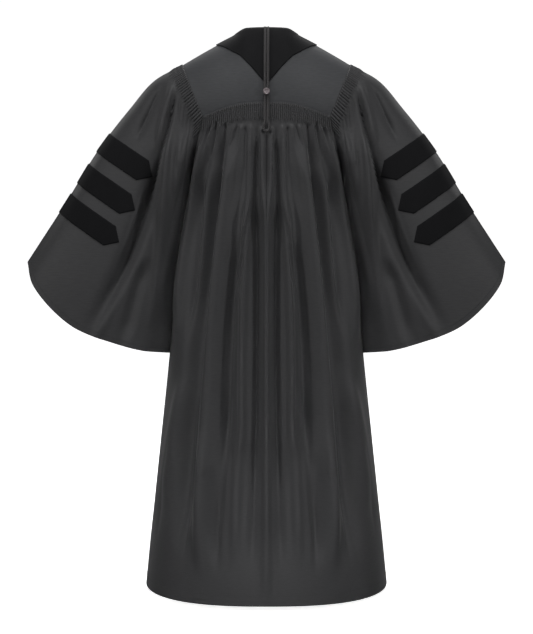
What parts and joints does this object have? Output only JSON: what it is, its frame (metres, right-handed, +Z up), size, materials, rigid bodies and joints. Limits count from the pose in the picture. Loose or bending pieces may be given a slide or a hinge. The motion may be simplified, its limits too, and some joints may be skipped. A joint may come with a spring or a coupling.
{
  "type": "graduation gown",
  "caption": "Long black graduation gown, hollow as worn: arched yoke over a fluted back, open bell sleeves with pointed velvet bars, velvet neck and front bands, hood cord and button",
  "frame": {"origin": "between the shoulders, on the centre plane above the underarms, where the wearer holds the gown up", "axes": "+X is to the wearer's right, +Y is to the gown's front, +Z is up; the fluted back faces -Y"},
  "size_m": [1.1232, 0.3963, 1.3],
  "materials": {
    "gown_cloth": "plain-woven dull polyester, faintly lustrous",
    "yoke_cloth": "the same cloth, lying smooth",
    "velvet": "short-pile black velvet",
    "bar_velvet": "short-pile black velvet",
    "hood_cord": "twisted mauve-grey cord",
    "hood_button": "matte mauve-grey"
  },
  "bodies": {
    "root": {"back_panel": "gown_cloth", "front_panel_left": "gown_cloth", "front_panel_right": "gown_cloth", "sleeve_left": "gown_cloth", "sleeve_right": "gown_cloth", "back_yoke": "yoke_cloth", "front_yoke_left": "yoke_cloth", "front_yoke_right": "yoke_cloth", "neck_velvet": "velvet", "front_band_left": "velvet", "front_band_right": "velvet", "bar_left_1": "bar_velvet", "bar_left_2": "bar_velvet", "bar_left_3": "bar_velvet", "bar_right_1": "bar_velvet", "bar_right_2": "bar_velvet", "bar_right_3": "bar_velvet", "hood_cord": "hood_cord", "hood_button": "hood_button"}
  },
  "joints": []
}
